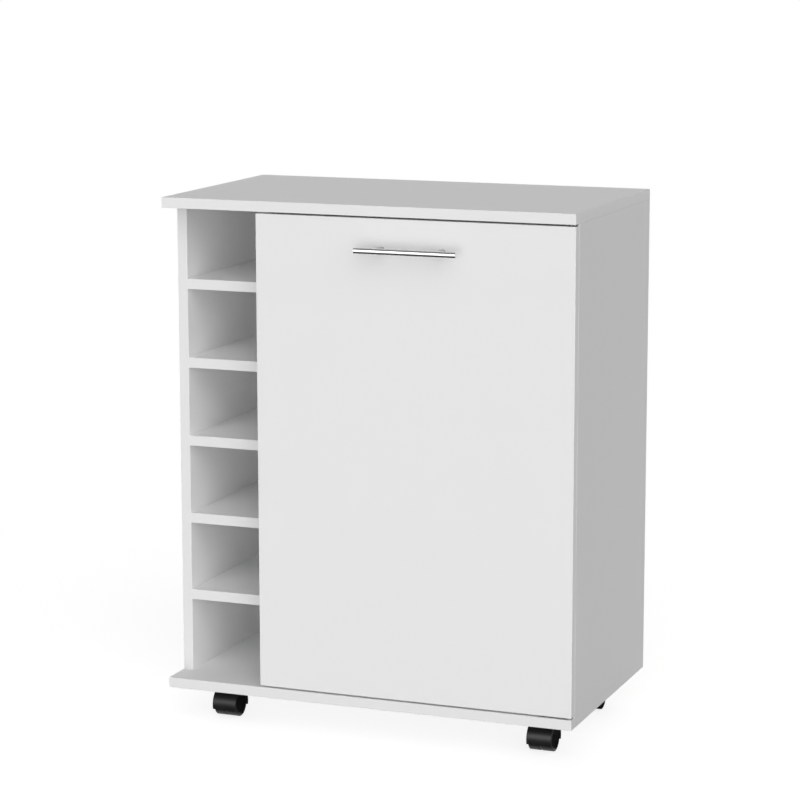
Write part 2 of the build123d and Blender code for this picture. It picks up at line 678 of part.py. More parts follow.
os.makedirs("parts", exist_ok=True)
for node, solids in parts.items():
    export_step(solids[0] if len(solids) == 1 else Compound(children=solids), f"parts/{node}.step")
print(len(parts), "nodes,", sum(len(solids) for solids in parts.values()), "solids")
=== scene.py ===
# %% [markdown]
# # A white bar cart on casters
#
# This cart is flat-pack furniture: white melamine boards with thin edge bands, an open rack of six
# cubbies at the left, one door with a bar handle, and four black twin-wheel casters. The boards, the
# hardware and the joints come from a imported CAD model, and stay exactly where it puts them. What is
# made here is the look of every surface, the small fixings that a CAD model keeps plain, the light
# and the camera.
#
# The first step loads that model as a fixed frame and keeps its box, whose middle the softbox faces.

# %% Load the frame
import json
import math

import bmesh
import bpy
from mathutils import Matrix, Vector


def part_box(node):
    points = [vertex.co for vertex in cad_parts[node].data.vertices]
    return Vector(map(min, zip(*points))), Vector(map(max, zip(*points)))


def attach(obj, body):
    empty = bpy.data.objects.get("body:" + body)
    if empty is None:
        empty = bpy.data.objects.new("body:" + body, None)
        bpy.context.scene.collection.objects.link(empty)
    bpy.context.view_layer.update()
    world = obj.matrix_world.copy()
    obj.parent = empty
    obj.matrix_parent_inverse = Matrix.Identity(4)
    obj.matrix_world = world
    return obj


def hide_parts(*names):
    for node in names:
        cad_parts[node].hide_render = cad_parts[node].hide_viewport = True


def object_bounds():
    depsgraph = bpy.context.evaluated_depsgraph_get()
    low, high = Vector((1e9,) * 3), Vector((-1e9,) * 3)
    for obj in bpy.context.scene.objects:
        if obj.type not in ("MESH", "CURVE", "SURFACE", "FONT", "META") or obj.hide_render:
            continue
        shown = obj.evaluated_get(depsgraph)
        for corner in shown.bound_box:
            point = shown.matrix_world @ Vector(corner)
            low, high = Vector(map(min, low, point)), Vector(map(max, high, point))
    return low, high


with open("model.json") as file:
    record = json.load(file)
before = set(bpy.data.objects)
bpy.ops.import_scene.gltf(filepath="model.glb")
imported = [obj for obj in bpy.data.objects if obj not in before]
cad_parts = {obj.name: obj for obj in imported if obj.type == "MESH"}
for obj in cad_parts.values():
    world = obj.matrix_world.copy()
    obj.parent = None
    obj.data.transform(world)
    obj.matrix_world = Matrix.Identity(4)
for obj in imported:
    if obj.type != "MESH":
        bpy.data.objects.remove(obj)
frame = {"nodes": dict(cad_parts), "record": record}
nodes = frame["nodes"]
cad_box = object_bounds()
MM = 0.001

# %% [markdown]
# ## Camera
#
# The cart is seen from its right and a little from above, through a long lens, so its upright edges stay
# nearly parallel. A camera can be aimed with a tracking constraint, but here its place and its three
# turns are known, so they are written down once and made into one matrix: first the roll about the
# lens, then the tilt, then the heading.

# %% Camera
camera_place = Vector((1.5379, -3.9774, 1.2723))
camera_heading = math.radians(21.24)
camera_drop = math.radians(10.155)
camera_roll = math.radians(-0.075)
camera_lens = 125.52
sensor_width = 36.0


def add_object(name, data):
    """Add an object to the scene and return it."""
    made = bpy.data.objects.new(name, data)
    bpy.context.scene.collection.objects.link(made)
    return made


camera = add_object("photo_camera", bpy.data.cameras.new("photo_camera"))
camera.data.lens = camera_lens
camera.data.sensor_width = sensor_width
camera_turn = Matrix.Rotation(camera_heading, 4, "Z")
camera_turn @= Matrix.Rotation(math.pi / 2 - camera_drop, 4, "X")
camera_turn @= Matrix.Rotation(camera_roll, 4, "Z")
camera.matrix_world = Matrix.Translation(camera_place) @ camera_turn
bpy.context.scene.camera = camera
bpy.context.scene.view_settings.view_transform = "Standard"
cart_middle = (cad_box[0] + cad_box[1]) / 2
print("camera", round((camera_place - cart_middle).length, 2), "m from the cart's middle")

# %% [markdown]
# ## Node trees as Python expressions
#
# Finishes and repeated shapes are both made of nodes. Adding each node and link by hand is long, so two
# small classes do it. The first is a Wire, which is one output of a node. Python's own operators work on
# it, so that `1 - mask` adds a Math node. The reflected operators, such as `__rsub__`, serve a plain
# number that stands on the left.


# %% Wires
class Wire:
    """One output of a node, on which Python's operators add Math nodes."""

    def __init__(self, graph, socket):
        self.graph = graph
        self.socket = socket

    def other(self, output):
        """Return another output of the same node."""
        return Wire(self.graph, self.socket.node.outputs[output])

    def __add__(self, other):
        return self.graph.maths("ADD", self, other)

    def __sub__(self, other):
        return self.graph.maths("SUBTRACT", self, other)

    def __mul__(self, other):
        return self.graph.maths("MULTIPLY", self, other)

    def __truediv__(self, other):
        return self.graph.maths("DIVIDE", self, other)

    def __gt__(self, other):
        return self.graph.maths("GREATER_THAN", self, other)

    def __abs__(self):
        return self.graph.maths("ABSOLUTE", self)

    def __radd__(self, other):
        return self.graph.maths("ADD", other, self)

    def __rsub__(self, other):
        return self.graph.maths("SUBTRACT", other, self)

    def __rmul__(self, other):
        return self.graph.maths("MULTIPLY", other, self)

    def __rtruediv__(self, other):
        return self.graph.maths("DIVIDE", other, self)


print("wires are ready")

# %% [markdown]
# The second class, a Graph, adds every other node with one method. A node's settings come first, because
# they change which sockets it has, and then its sockets, each a plain value or a Wire. A list feeds one
# socket with several wires. The last node of a tree has no output, so its Wire holds its first input.


# %% Graphs
def opaque(shade):
    """Return a colour with its alpha, from a colour or one grey number; a wire stays as it is."""
    if isinstance(shade, Wire):
        return shade
    colour = shade if isinstance(shade, tuple) else (shade, shade, shade)
    return (*colour, 1.0)


def empty_tree(owner):
    """Give a material or a world nodes, without the default ones, and return its tree."""
    owner.use_nodes = True
    owner.node_tree.nodes.clear()
    return owner.node_tree


class Graph:
    """Adds nodes to one tree."""

    def __init__(self, tree):
        self.tree = tree

    def node(self, kind, settings=None, inputs=None, output=0):
        """Add a node, set it, feed its sockets, and return one of its outputs."""
        made = self.tree.nodes.new(kind)
        for name, value in (settings or {}).items():
            if name == "stops":
                self.set_stops(made.color_ramp, value)
            else:
                setattr(made, name, value)
        for key, value in (inputs or {}).items():
            for part in value if isinstance(value, list) else [value]:
                self.feed(made.inputs[key], part)
        return Wire(self, made.outputs[output] if len(made.outputs) else made.inputs[0])

    def feed(self, socket, value):
        """Link a wire to a socket, or set the socket to a plain value."""
        if isinstance(value, Wire):
            self.tree.links.new(value.socket, socket)
        else:
            socket.default_value = value

    def set_stops(self, ramp, stops):
        """Give a colour ramp its stops, each a place and a grey or a colour."""
        while len(ramp.elements) < len(stops):
            ramp.elements.new(position=0.5)
        for element, (place, shade) in zip(ramp.elements, stops):
            element.position = place
            element.color = opaque(shade)

    def maths(self, operation, *values):
        """Add a Math node."""
        return self.node("ShaderNodeMath", {"operation": operation}, dict(enumerate(values)))

    def measure(self, operation, *vectors):
        """Add a Vector Math node that gives a number."""
        settings = {"operation": operation}
        return self.node("ShaderNodeVectorMath", settings, dict(enumerate(vectors)), "Value")


print("graphs are ready")

# %% [markdown]
# ## Floor
#
# The cart stands on a plain pale floor against white. More light could make a grey floor white, but it
# would burn out the cart as well. So the floor is a matt grey that takes the cart's shadow, and rays from
# the camera, and from metal or glass that mirrors it, also see a steady glow that lifts it to white. Far
# from the cart the glow takes over, so the floor runs into the white world with no edge. Rays that carry
# light to the cart don't see that glow.

# %% Floor
floor_size = 80.0
floor_grey = 0.45
floor_glow = 0.8
shadow_reach = 0.75
shadow_fade = 0.8


def seen_ray(graph):
    """Return 1 for rays from the camera, a mirror or glass, and 0 for rays that carry light."""
    path = graph.node("ShaderNodeLightPath", output="Is Camera Ray")
    seen = path + path.other("Is Glossy Ray") + path.other("Is Transmission Ray")
    seen.socket.node.use_clamp = True
    return seen


def level_sheet(name, corner, width, depth):
    """Return the mesh of one level rectangle, from its near left corner."""
    low_x, low_y, height = corner
    high_x = low_x + width
    high_y = low_y + depth
    outline = [(low_x, low_y), (high_x, low_y), (high_x, high_y), (low_x, high_y)]
    mesh = bpy.data.meshes.new(name)
    mesh.from_pydata([(x, y, height) for x, y in outline], [], [(0, 1, 2, 3)])
    return mesh


def make_floor():
    """Make the floor, matt near the cart and plain white further off."""
    mesh = level_sheet("floor", (-floor_size / 2, -floor_size / 2, 0.0), floor_size, floor_size)
    floor = add_object("floor", mesh)
    material = bpy.data.materials.new("floor_white")
    graph = Graph(empty_tree(material))
    seen = seen_ray(graph)
    place = graph.node("ShaderNodeTexCoord", output="Object")
    far = (graph.measure("LENGTH", place) - shadow_reach) / shadow_fade
    far.socket.node.use_clamp = True
    matt = graph.node("ShaderNodeBsdfDiffuse", inputs={"Color": opaque(floor_grey)})
    glow = graph.node("ShaderNodeEmission", inputs={"Strength": floor_glow * seen})
    near_look = graph.node("ShaderNodeAddShader", inputs={0: matt, 1: glow})
    far_look = graph.node("ShaderNodeEmission", inputs={"Strength": 1.0})
    look = graph.node("ShaderNodeMixShader", inputs={0: far * seen, 1: near_look, 2: far_look})
    graph.node("ShaderNodeOutputMaterial", inputs={"Surface": look})
    mesh.materials.append(material)
    floor.visible_diffuse = False
    floor.visible_shadow = False


make_floor()
print("floor that shows a shadow up to", shadow_reach + shadow_fade, "m from its middle")

# %% [markdown]
# ## Soft lights
#
# The light is the world's: an even fill, and four soft lights. Lamps could do the same, but light that
# comes from far off is as strong at the cart's foot as at its top. Each soft light falls off round its
# aim by a power of the angle's cosine, so a high power makes it narrow.
#
# The strongest is a key from near the photographer, which is why the cart's front is its brightest side.
# It lies a little below the level, as the light of a white studio floor does, so the floor lets rays that
# carry light pass. One light at the side and one high up reach into the cubbies, and a broad weak one
# comes from the rear.

# %% Soft lights
fill_light = 0.05
soft_lights = {
    "key": {"heading": 9, "height": -4, "narrowness": 26.0, "strength": 6.65},
    "side": {"heading": 41, "height": 17, "narrowness": 6.0, "strength": 2.68},
    "high": {"heading": 20, "height": 42, "narrowness": 14.0, "strength": 1.6},
    "rear": {"heading": 225, "height": 0, "narrowness": 1.0, "strength": 0.8},
}


def aim_from(heading, height):
    """Return a light's direction from its degrees to the right of the front and above the level."""
    heading, height = math.radians(heading), math.radians(height)
    level = math.cos(height)
    return (level * math.sin(heading), -level * math.cos(heading), math.sin(height))


def light_world():
    """Give the world its fill and its soft lights, and white where it is seen."""
    world = bpy.data.worlds.new("studio")
    graph = Graph(empty_tree(world))
    way = graph.node("ShaderNodeTexCoord", output="Generated")
    light = fill_light
    for soft in soft_lights.values():
        nearness = graph.measure("DOT_PRODUCT", way, aim_from(soft["heading"], soft["height"]))
        glow = graph.maths("POWER", graph.maths("MAXIMUM", nearness, 0.0), soft["narrowness"])
        light = light + soft["strength"] * glow
    seen = seen_ray(graph)
    sky = graph.node("ShaderNodeBackground", inputs={"Strength": light * (1.0 - seen) + seen})
    graph.node("ShaderNodeOutputWorld", inputs={"Surface": sky})
    bpy.context.scene.world = world


light_world()
print("a world with", len(soft_lights), "soft lights")

# %% [markdown]
# ## Softbox and cards
#
# Steel and smooth plastic show what stands around them, so a white room alone would wash them out. A
# photographer hangs a softbox for their highlights and lays dark cards for their edges. The softbox and
# the cards here do only that: no other ray sees them.
#
# The cards are painted reflections, grey glows that only mirror rays see. The card over the handle keeps
# the bar's highlight narrow, and the one below it draws its dark lower edge. The cards on the floor,
# before the cart and under it, darken the casters' lower sides; the one under the cart is a painted
# shadow, the floor's shade as mirrors would show it. The one close under the base board is painted shade
# on the base's underside, which darkens the tops of the hoods.

# %% Softbox and cards
softbox = {"place": Vector((-0.7, -3.2, 1.6)), "width": 2.4, "height": 3.0, "watts": 47.0}
bar_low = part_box("handle_bar")[0]
base_low, base_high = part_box("base_board")
cards = {
    "over_handle_card": {
        "corner": bar_low + Vector((-0.2, -0.09, 0.07)), "width": 0.5, "depth": 0.12, "shade": 0.22},
    "handle_card": {
        "corner": bar_low - Vector((0.2, 0.08, 0.06)), "width": 0.5, "depth": 0.115, "shade": 0.04},
    "floor_card": {"corner": (-1.0, -0.4, 0.001), "width": 1.6, "depth": 0.288, "shade": 0.02},
    "under_card": {"corner": (-0.5, -0.085, 0.001), "width": 0.88, "depth": 0.44, "shade": 0.0},
    "base_card": {
        "corner": (base_low.x, -0.135, base_low.z - 0.005), "width": base_high.x - base_low.x,
        "depth": 0.25, "shade": 0.02},
}


def add_softbox(name, aim, place, width, height, watts):
    """Hang one rectangular lamp that faces a point and shows only in what mirrors it."""
    lamp = bpy.data.lights.new(name, "AREA")
    lamp.shape = "RECTANGLE"
    lamp.size = width
    lamp.size_y = height
    lamp.energy = watts
    box = add_object(name, lamp)
    box.location = place
    box.rotation_euler = (aim - place).to_track_quat("-Z", "Y").to_euler()
    box.visible_diffuse = False
    box.visible_camera = False


def add_card(name, corner, width, depth, shade):
    """Put up one level card that only mirrors see, a painted reflection with a grey glow of its own."""
    mesh = level_sheet(name, corner, width, depth)
    card = add_object(name, mesh)
    material = bpy.data.materials.new(name)
    graph = Graph(empty_tree(material))
    look = graph.node("ShaderNodeEmission", inputs={"Strength": shade})
    graph.node("ShaderNodeOutputMaterial", inputs={"Surface": look})
    mesh.materials.append(material)
    card.visible_camera = False
    card.visible_diffuse = False
    card.visible_shadow = False
    card.visible_transmission = False


add_softbox("front_softbox", cart_middle, **softbox)
for name, card in cards.items():
    add_card(name, **card)
print("one softbox and", len(cards), "cards")

# %% [markdown]
# ## Finishes
#
# Each finish is one Principled shader. What is the same all over is set on the shader's own sockets, and
# only colour, roughness, metal and bump vary. Image textures would need a UV map on every CAD part, so
# every pattern is worked out from Object coordinates. These are metres here, so a grain size is written
# as a real size: grains that are long on one axis make wood pores, and even ones make clouds or a moulded
# texture.


# %% A finish and its patterns
facing_share = 0.9


class Finish(Graph):
    """A material made around one Principled shader."""

    def __init__(self, name, **constants):
        self.material = bpy.data.materials.new(name)
        super().__init__(empty_tree(self.material))
        shader = self.node("ShaderNodeBsdfPrincipled")
        self.shader = shader.socket.node
        self.set(**constants)
        self.node("ShaderNodeOutputMaterial", inputs={"Surface": shader})
        self.place = self.node("ShaderNodeTexCoord", output="Object")

    def grains(self, size):
        """Return a place counted in grains of one size, or of a size along each axis, in metres."""
        sizes = size if isinstance(size, tuple) else (size, size, size)
        scale = tuple(1 / part for part in sizes)
        return self.node("ShaderNodeMapping", inputs={"Vector": self.place, "Scale": scale})

    def noise(self, size, detail=2.0):
        """Return a noise from 0 to 1."""
        place = self.grains(size)
        return self.node("ShaderNodeTexNoise", inputs={"Vector": place, "Scale": 1.0, "Detail": detail})

    def cells(self, size):
        """Return a pattern of cells, each with its own random colour."""
        place = self.grains(size)
        return self.node("ShaderNodeTexVoronoi", inputs={"Vector": place, "Scale": 1.0}, output="Color")

    def ramp(self, value, *stops):
        """Return a value or a colour that a wire picks from stops."""
        return self.node("ShaderNodeValToRGB", {"stops": stops}, {"Fac": value})

    def mix(self, share, first, second):
        """Return a colour between two others."""
        colours = {6: opaque(first), 7: opaque(second)}
        return self.node("ShaderNodeMix", {"data_type": "RGBA"}, {0: share, **colours}, 2)

    def facing(self, axis):
        """Return how far the surface faces along an axis, from -1 to 1."""
        normal = self.node("ShaderNodeTexCoord", output="Normal")
        return self.node("ShaderNodeSeparateXYZ", inputs={0: normal}, output=axis)

    def faces_along(self, axis):
        """Return 1 where the surface faces along an axis, either way, and 0 elsewhere."""
        return abs(self.facing(axis)) > facing_share

    def bump(self, height, depth, strength):
        """Feed the shader's normal with a relief of a depth in metres."""
        relief = {"Height": height, "Distance": depth, "Strength": strength}
        self.set(Normal=self.node("ShaderNodeBump", inputs=relief))

    def set(self, **values):
        """Feed the shader's sockets, named with underscores, and return the material."""
        for name, value in values.items():
            self.feed(self.shader.inputs[name.replace("_", " ")], value)
        return self.material


print("patterns are ready")

# %% [markdown]
# ## White boards
#
# A melamine board is chipboard between two printed papers, pressed against a plate that leaves fine wood
# pores in the surface. The paper covers only the two large faces. Edges that get no band, such as those
# at the back of the cart, and the walls of drilled holes show raw chips. One finish does both: the
# surface's own direction says whether a point lies on a face or on a cut. The pores run along the
# board, so each way that a board can lie has its own copy of the finish.
#
# The door and the right panel are a touch greyer than the other boards, because under these lights that
# gives every face the tone that it has in the photograph.

# %% White boards
AXES = "XYZ"
board_gloss = 0.15
# Painted light: the boards that line the cubbies are whiter than one paper would be, to lift the cubbies'
# shade.
shade_lifted_white = 0.94
# Painted shade: the door and the right panel, which take the most light, are greyer than one paper would
# be.
light_dimmed_white = 0.84
paper_cloud = 0.015
paper_cloud_size = 90 * MM
paper_cloud_roughness = 0.06
paper_smoothness = 0.34
pore_width = 0.35 * MM
pore_length = 14 * MM
pore_depth = 0.02 * MM
pore_stops = ((0.38, 0.0), (0.5, 1.0))
chip_size = 2.2 * MM
chip_stops = ((0.2, (0.38, 0.24, 0.13)), (0.5, (0.58, 0.41, 0.24)), (0.85, (0.72, 0.56, 0.37)))
chip_roughness = 0.75


def make_white_board(name, thin, along, white):
    """Make the finish of a board that is thin on one axis and whose pores run along another."""
    finish = Finish(name, Specular_IOR_Level=board_gloss)
    face = finish.faces_along(thin)
    pore_size = tuple(pore_length if axis == along else pore_width for axis in AXES)
    pores = finish.ramp(finish.noise(pore_size), *pore_stops)
    clouds = finish.noise(paper_cloud_size)
    paper = finish.mix(clouds, white - paper_cloud, white)
    chips = finish.ramp(finish.cells(chip_size), *chip_stops)
    finish.bump(pores, depth=pore_depth, strength=0.5)
    smoothness = face * (paper_smoothness - paper_cloud_roughness * clouds)
    return finish.set(Base_Color=finish.mix(face, chips, paper), Roughness=chip_roughness - smoothness)


def dress(node, material):
    """Give a CAD node a finish."""
    nodes[node].material_slots[0].material = material


rack_shelves = [f"rack_shelf_{number}" for number in (1, 2, 3, 4, 5)]
level_boards = ["top_board", "base_board", "cabinet_shelf", *rack_shelves]
board_groups = {
    "white_level_board": ("Z", "X", shade_lifted_white, level_boards),
    "white_upright_board": ("X", "Z", shade_lifted_white, ["left_side_panel", "divider_panel"]),
    "white_right_panel": ("X", "Z", light_dimmed_white, ["right_side_panel"]),
    "white_door": ("Y", "Z", light_dimmed_white, ["door_panel"]),
}
for name, (thin, along, white, boards) in board_groups.items():
    material = make_white_board(name, thin, along, white)
    for board in boards:
        dress(board, material)
    print(name, "on", *boards)

# %% [markdown]
# ## Edge bands and back
#
# An edge band is a thin strip of plastic that covers a cut edge of a board. It is smoother than the paper
# and has no pores, only a fine skin. The back is hardboard, pressed from wood fibres, with white paint on
# the side that shows inside the cart and none on the other. Two materials on one mesh could do that, but
# the CAD meshes stay as they are, so one finish again asks which way the surface faces.
#
# Most patterns pick between two shades, which are written down as a pair. The CAD model names a slot for
# each node, and the finishes are kept under the names of these slots.

# %% Edge bands and back
# Painted shade: the bands are greyer than the boards, like the door, to tone down the lit front edges.
light_dimmed_band_white = 0.82
hardboard_shades = ((0.29, 0.165, 0.08), (0.47, 0.29, 0.155))
painted_share = 0.5
finishes = {}


def make_edge_band():
    """Make the thin plastic band on the boards' edges."""
    finish = Finish("edge_band", Specular_IOR_Level=0.3)
    skin = finish.noise(0.5 * MM)
    clouds = finish.noise(60 * MM)
    finish.bump(skin, depth=0.01 * MM, strength=0.5)
    colour = finish.mix(clouds, light_dimmed_band_white - paper_cloud, light_dimmed_band_white)
    return finish.set(Base_Color=colour, Roughness=0.36 + 0.08 * skin)


def make_back_board():
    """Make hardboard that is painted white on its inner face and bare on the other."""
    finish = Finish("back_board", Specular_IOR_Level=board_gloss)
    painted = finish.facing("Y") * -1.0 > painted_share
    fibres = finish.noise((1.2 * MM, 1.2 * MM, 0.4 * MM), detail=5.0)
    blotches = finish.noise((40 * MM, 40 * MM, 25 * MM))
    bare_share = finish.ramp(fibres * 0.7 + blotches * 0.3, (0.3, 0.0), (0.7, 1.0))
    bare = finish.mix(bare_share, *hardboard_shades)
    finish.bump(fibres, depth=0.05 * MM, strength=0.6)
    # The paint takes the whiter board white, painted light in the shaded backs of the cubbies.
    colour = finish.mix(painted, bare, shade_lifted_white - paper_cloud)
    return finish.set(Base_Color=colour, Roughness=0.7 - 0.22 * painted)


finishes["edge_band"] = make_edge_band()
finishes["back_board"] = make_back_board()
print("finishes so far:", *finishes)

# %% [markdown]
# ## Handle steel
#
# The handle's bar is plated bright, and its posts are turned and satin. A metal is a tinted mirror, so
# most of its look lies in its roughness. One even roughness would look too clean, so each steel gets a
# faint pattern there, and a bump of a few thousandths of a millimetre. These break the mirror up as wiping
# along the bar and turning round the posts do.

# %% Handle steel
bright_shades = ((0.84, 0.845, 0.85), (0.8, 0.805, 0.815))
satin_shades = ((0.5, 0.505, 0.51), (0.56, 0.565, 0.57))


def make_handle_steel():
    """Make bright plated steel with faint wiping marks along the bar."""
    finish = Finish("handle_steel", Metallic=1.0)
    wiping = finish.noise((40 * MM, 0.5 * MM, 0.5 * MM), detail=3.0)
    smears = finish.noise(25 * MM)
    finish.bump(wiping, depth=0.004 * MM, strength=0.3)
    colour = finish.mix(smears, *bright_shades)
    return finish.set(Base_Color=colour, Roughness=0.08 + 0.08 * wiping * smears)


def make_post_steel():
    """Make the satin steel of the handle's posts, turned round and round."""
    finish = Finish("post_steel", Metallic=1.0)
    turning = finish.noise((8 * MM, 0.25 * MM, 8 * MM), detail=3.0)
    finish.bump(turning, depth=0.006 * MM, strength=0.4)
    colour = finish.mix(turning, *satin_shades)
    return finish.set(Base_Color=colour, Roughness=0.26 + 0.1 * turning)


finishes["handle_steel"] = make_handle_steel()
finishes["post_steel"] = make_post_steel()
print("finishes so far:", *finishes)

# %% [markdown]
# ## Small hardware
#
# Nails, cams, shelf pins, the casters' plates and axles, and all screws but the hinges' are zinc plated,
# which leaves a cloudy grey. The hinge pins are dark steel, which is painted shade: they sit in the door's
# gaps, and their darkness stands in for the shade there. The catch holds a magnet of ferrite, a dark
# powder that is pressed and baked. They could share one grey metal, but the clouds, the pins' faint mottle
# and the powder's grit tell them apart close by.

# %% Small hardware
zinc_shades = ((0.5, 0.51, 0.53), (0.64, 0.645, 0.65))
# Painted shade: a dark steel for the hinge parts that sit in the door's gaps.
painted_shade_steel = (0.08, 0.08, 0.085)
dark_pin_shades = (painted_shade_steel, 0.12)
ferrite_shades = ((0.05, 0.05, 0.055), (0.1, 0.1, 0.105))


def make_zinc_steel():
    """Make zinc plate: grey, softly glossy, with a faint cloud of passivation."""
    finish = Finish("zinc_steel", Metallic=1.0)
    clouds = finish.noise(6 * MM, detail=4.0)
    grit = finish.noise(0.3 * MM)
    finish.bump(grit, depth=0.006 * MM, strength=0.4)
    return finish.set(Base_Color=finish.mix(clouds, *zinc_shades), Roughness=0.3 + 0.16 * clouds)


def make_dark_pin_steel():
    """Make the dark steel of the hinge pins, painted shade for the door's gaps, with a faint mottle."""
    finish = Finish("dark_pin_steel", Metallic=1.0)
    pin_mottle = finish.noise(2 * MM, detail=3.0)
    finish.bump(pin_mottle, depth=0.004 * MM, strength=0.3)
    return finish.set(Base_Color=finish.mix(pin_mottle, *dark_pin_shades), Roughness=0.3 + 0.12 * pin_mottle)


def make_magnet():
    """Make dark pressed ferrite."""
    finish = Finish("magnet", Metallic=0.6, Roughness=0.55)
    grit = finish.noise(0.5 * MM, detail=3.0)
    finish.bump(grit, depth=0.02 * MM, strength=0.5)
    return finish.set(Base_Color=finish.mix(grit, *ferrite_shades))


finishes["zinc_steel"] = make_zinc_steel()
finishes["magnet"] = make_magnet()
dark_pin_steel = make_dark_pin_steel()
print("finishes so far:", *finishes)

# %% [markdown]
# ## Moulded plastics
#
# The caster hoods and wheels, the catch, the bumpers and the hinge washer are moulded. Moulds are cut by
# sparks, which leave an even, fine grit on every part, so the plastics differ only in colour, gloss and
# grit. One function makes them all from a table. The hoods are satin black, the wheels are of a harder
# black that rolling has dulled, and the bumpers are milky.

# %% Moulded plastics
plastics = {
    "hood_plastic": {
        "shades": (0.01, 0.013), "roughness": 0.3, "grit_size": 0.35 * MM, "grit_depth": 0.008 * MM},
    "wheel_plastic": {
        "shades": (0.005, 0.01), "roughness": 0.32, "grit_size": 0.5 * MM, "gloss": 0.25},
    "catch_plastic": {
        "shades": ((0.74, 0.74, 0.72), (0.78, 0.78, 0.76)), "roughness": 0.35, "grit_size": 0.4 * MM},
    "bumper": {
        "shades": ((0.68, 0.69, 0.69), (0.74, 0.75, 0.75)), "roughness": 0.3, "grit_size": 0.8 * MM},
    "washer_nylon": {
        "shades": (0.27, 0.32), "roughness": 0.5, "grit_size": 0.4 * MM},
}


def make_plastic(name, shades, roughness, grit_size, grit_depth=0.01 * MM, gloss=0.45):
    """Make a moulded plastic with a fine sparked texture and a slight cloud in its gloss."""
    finish = Finish(name, Specular_IOR_Level=gloss)
    grit = finish.noise(grit_size, detail=3.0)
    clouds = finish.noise(12 * MM)
    finish.bump(grit, depth=grit_depth, strength=0.6)
    return finish.set(Base_Color=finish.mix(clouds, *shades), Roughness=roughness + 0.1 * clouds)


for slot, recipe in plastics.items():
    finishes[slot] = make_plastic(slot, **recipe)
print("finishes so far:", *finishes)

# %% [markdown]
# ## Hinge coat and dowels
#
# The hinge plates and their screws have a powder coat, which melts on and sets with a faint orange peel.
# Small pegs on the upper plates stop the door by running into each other. The sides of plates and pegs,
# their cut edges too, are painted shade: dark bare steel, which keeps them as dark as the shade in the
# door's gaps where they sit. A plate and its peg are one solid, so the surface's direction decides: what
# faces up or down is coated, and every side is dark steel. The dowels are raw beech with short dark
# flecks.

# %% Hinge coat and dowels
powder_shades = (0.72, 0.76)
beech_shades = ((0.42, 0.25, 0.12), (0.6, 0.41, 0.24))


def make_hinge_white():
    """Make the white powder coat of the hinge plates and screws, with painted shade, dark steel, on their
    sides.
    """
    finish = Finish("hinge_white", Specular_IOR_Level=0.3)
    # Painted shade: only faces that look up or down keep the coat, and every side gets the dark steel.
    coat_not_shade = finish.faces_along("Z")
    peel = finish.noise(1.2 * MM, detail=3.0)
    finish.bump(peel, depth=0.02 * MM, strength=0.6)
    colour = finish.mix(coat_not_shade, painted_shade_steel, finish.mix(peel, *powder_shades))
    return finish.set(Base_Color=colour, Metallic=1.0 - coat_not_shade, Roughness=0.4 + 0.1 * peel)


def make_dowel_wood():
    """Make raw beech with short dark flecks."""
    finish = Finish("dowel_wood", Specular_IOR_Level=0.3, Roughness=0.68)
    grain = finish.noise((2 * MM, 0.4 * MM, 2 * MM), detail=3.0)
    flecks = finish.ramp(grain, (0.35, 0.0), (0.6, 1.0))
    return finish.set(Base_Color=finish.mix(flecks, *beech_shades))


finishes["hinge_white"] = make_hinge_white()
finishes["dowel_wood"] = make_dowel_wood()
print("finishes so far:", *finishes)

# %% [markdown]
# ## Dress the nodes
#
# Every node that isn't a board now gets the finish of its slot. A finish could be assigned node by node,
# but the slots already say which node is made of what. Only the hinge pins differ: they share the slot of
# the zinc parts, and get the dark steel of painted shade instead.

# %% Dress the nodes
slot_of = {part["node"]: part["material_slot"] for part in frame["record"]["subparts"]}
slotted = [node for node, slot in slot_of.items() if slot in finishes]
for node in slotted:
    dress(node, finishes[slot_of[node]])
dress("hinge_pins", dark_pin_steel)
print(len(finishes), "slots dress", len(slotted), "nodes")

# %% [markdown]
# ## Screws and nails
#
# A flat-pack cart is held by dozens of small fixings, and the driver's recess is what makes a dot of metal
# read as a screw. The CAD fixings are plain turned shapes, so their sizes, places and directions are
# measured on the CAD meshes first, and the finished ones then stand in the very same holes. A CAD mesh is
# loose triangles: a copy is welded, and points that hang together are one fixing.

# %% Find the CAD fixings
weld_distance = 0.001 * MM
sort_digits = 4


def middle_of(points):
    """Return the mean of some points."""
    return sum(points, Vector()) / len(points)


def loose_solids(node):
    """Return the points of each separate solid of a CAD node, sorted by place."""
    shape = bmesh.new()
    shape.from_mesh(nodes[node].data)
    bmesh.ops.remove_doubles(shape, verts=shape.verts, dist=weld_distance)
    waiting = set(shape.verts)
    solids = []
    while waiting:
        reached = [waiting.pop()]
        points = []
        while reached:
            vertex = reached.pop()
            points.append(vertex.co.copy())
            near = {edge.other_vert(vertex) for edge in vertex.link_edges} & waiting
            waiting -= near
            reached.extend(near)
        solids.append(points)
    shape.free()
    return sorted(solids, key=lambda points: [round(value, sort_digits) for value in middle_of(points)])


caster_screws = loose_solids("caster_screws")
print(len(caster_screws), "caster screws of", len(caster_screws[0]), "points")

# %% [markdown]
# A fixing's long axis is its own axis, and its wider end is the head. Each point then has a depth below
# the head's face and a radius, and the sizes follow from these: the head and its rounded rim, the
# shoulder where the shank starts, and the length. Copying the sizes from the CAD source by hand would
# work too, but measured ones stay right when the model changes.

# %% Measure the CAD fixings
fixing_sizes = ("Head radius", "Shank radius", "Edge round", "Side depth", "Shoulder depth", "Length")
least_edge_round = 0.05 * MM
shank_from_share = 0.9
head_side_share = 0.99
shank_slack = 0.03


